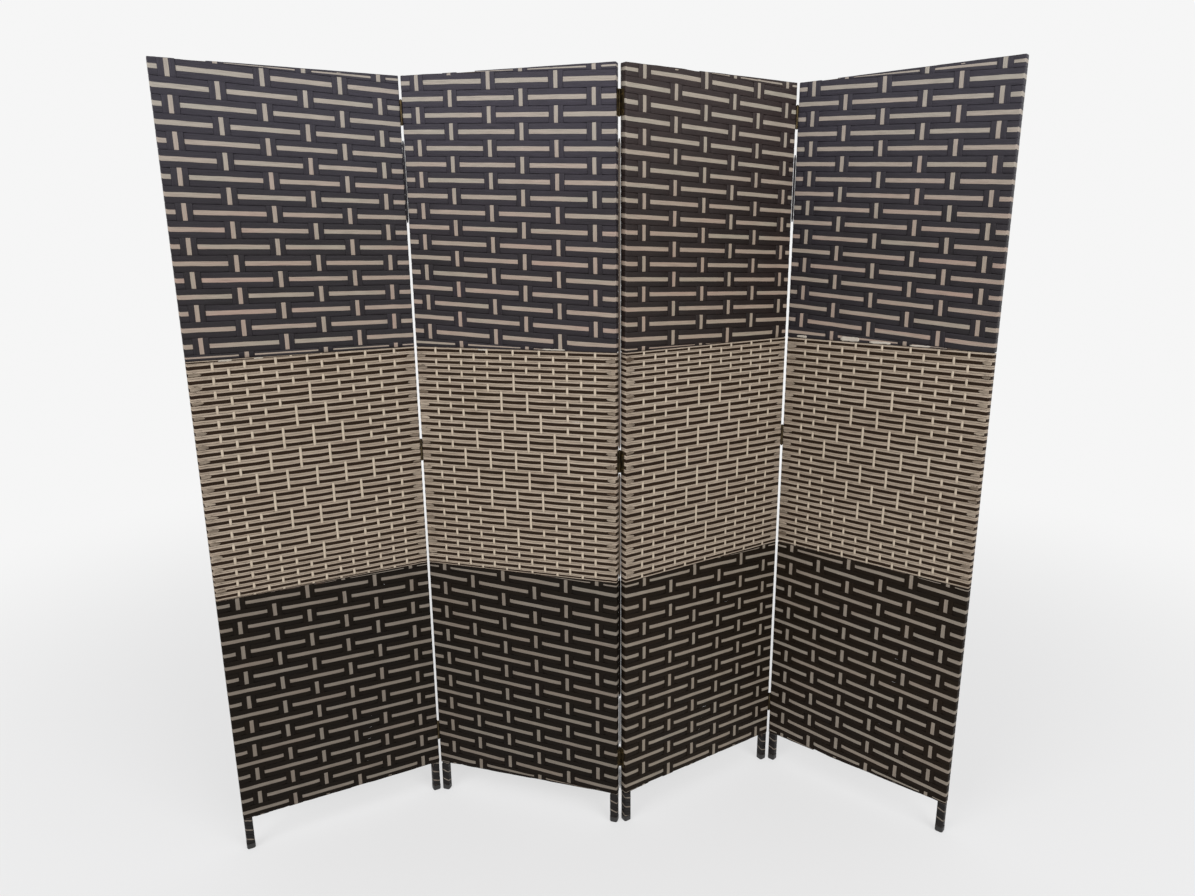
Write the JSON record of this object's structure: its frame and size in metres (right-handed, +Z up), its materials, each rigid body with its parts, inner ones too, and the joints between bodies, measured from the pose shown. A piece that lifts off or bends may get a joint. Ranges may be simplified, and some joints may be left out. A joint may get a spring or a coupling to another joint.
{
  "type": "folding screen",
  "caption": "Free-standing folding room screen of hinged wood-framed panels woven over with striped paper tape, dark above and below, pale with a diamond in the middle.",
  "frame": {"origin": "middle of the screen's outline seen from above, on the floor", "axes": "+X along the screen's width to the right seen from the front, +Y from front to back, +Z up"},
  "size_m": [1.6426, 0.3291, 1.7],
  "materials": {
    "frame_wood": "stained softwood",
    "dark_tape": "twisted paper tape, dark with a pale stripe",
    "pale_tape": "twisted paper tape, pale with a dark stripe",
    "foot_plastic": "satin black",
    "hinge_brass": "dull brass plate",
    "screw_brass": "dull brass plate"
  },
  "bodies": {
    "panel_1": {"panel_1_bottom_rail": "frame_wood", "panel_1_foot_caps": "foot_plastic", "panel_1_left_post": "frame_wood", "panel_1_leg_wraps": "dark_tape", "panel_1_lower_inner_rail": "frame_wood", "panel_1_lower_weave": "dark_tape", "panel_1_middle_weave": "pale_tape", "panel_1_right_post": "frame_wood", "panel_1_top_rail": "frame_wood", "panel_1_upper_inner_rail": "frame_wood", "panel_1_upper_weave": "dark_tape", "hinge_1_left_leaves": "hinge_brass", "hinge_1_left_screws": "screw_brass", "hinge_1_pins": "hinge_brass"},
    "panel_2": {"panel_2_bottom_rail": "frame_wood", "panel_2_foot_caps": "foot_plastic", "panel_2_left_post": "frame_wood", "panel_2_leg_wraps": "dark_tape", "panel_2_lower_inner_rail": "frame_wood", "panel_2_lower_weave": "dark_tape", "panel_2_middle_weave": "pale_tape", "panel_2_right_post": "frame_wood", "panel_2_top_rail": "frame_wood", "panel_2_upper_inner_rail": "frame_wood", "panel_2_upper_weave": "dark_tape", "hinge_1_right_leaves": "hinge_brass", "hinge_1_right_screws": "screw_brass", "hinge_2_left_leaves": "hinge_brass", "hinge_2_left_screws": "screw_brass", "hinge_2_pins": "hinge_brass"},
    "panel_3": {"panel_3_bottom_rail": "frame_wood", "panel_3_foot_caps": "foot_plastic", "panel_3_left_post": "frame_wood", "panel_3_leg_wraps": "dark_tape", "panel_3_lower_inner_rail": "frame_wood", "panel_3_lower_weave": "dark_tape", "panel_3_middle_weave": "pale_tape", "panel_3_right_post": "frame_wood", "panel_3_top_rail": "frame_wood", "panel_3_upper_inner_rail": "frame_wood", "panel_3_upper_weave": "dark_tape", "hinge_2_right_leaves": "hinge_brass", "hinge_2_right_screws": "screw_brass", "hinge_3_left_leaves": "hinge_brass", "hinge_3_left_screws": "screw_brass", "hinge_3_pins": "hinge_brass"},
    "panel_4": {"panel_4_bottom_rail": "frame_wood", "panel_4_foot_caps": "foot_plastic", "panel_4_left_post": "frame_wood", "panel_4_leg_wraps": "dark_tape", "panel_4_lower_inner_rail": "frame_wood", "panel_4_lower_weave": "dark_tape", "panel_4_middle_weave": "pale_tape", "panel_4_right_post": "frame_wood", "panel_4_top_rail": "frame_wood", "panel_4_upper_inner_rail": "frame_wood", "panel_4_upper_weave": "dark_tape", "hinge_3_right_leaves": "hinge_brass", "hinge_3_right_screws": "screw_brass"}
  },
  "joints": [
    {"name": "fold_1", "type": "hinge", "parent": "panel_2", "child": "panel_1", "pos_m": [-0.39836, 0.0443, 0], "axis": [0, 0, 1], "range_deg": [-45, 135]},
    {"name": "fold_2", "type": "hinge", "parent": "panel_2", "child": "panel_3", "pos_m": [0.05284, -0.07959, 0], "axis": [0, 0, 1], "range_deg": [-50, 130]},
    {"name": "fold_3", "type": "hinge", "parent": "panel_3", "child": "panel_4", "pos_m": [0.46066, 0.14978, 0], "axis": [0, 0, 1], "range_deg": [-106.5, 73.5]}
  ]
}
